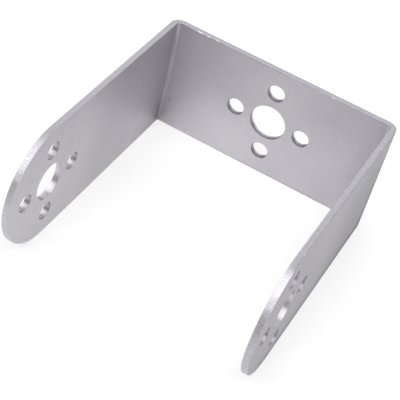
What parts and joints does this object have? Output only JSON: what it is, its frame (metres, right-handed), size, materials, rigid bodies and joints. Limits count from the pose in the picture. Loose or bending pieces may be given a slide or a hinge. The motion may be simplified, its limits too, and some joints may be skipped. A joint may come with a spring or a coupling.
{
  "type": "motor mounting bracket",
  "caption": "U-shaped bracket folded from aluminium sheet, with parallel round-ended arms and a centre bore ringed by screw holes in the web and in each arm.",
  "frame": {"origin": "centre of the web's bore, in the web's outer face", "axes": "+Y out of the web's outer face, away from the arms; +X from the left arm to the right arm; +Z across the strip, up when the bracket lies on its edges"},
  "size_m": [0.0526, 0.0605, 0.027],
  "materials": {
    "blasted_aluminium": "fine bead-blasted, matt"
  },
  "bodies": {
    "root": {"bracket": "blasted_aluminium"}
  },
  "joints": []
}
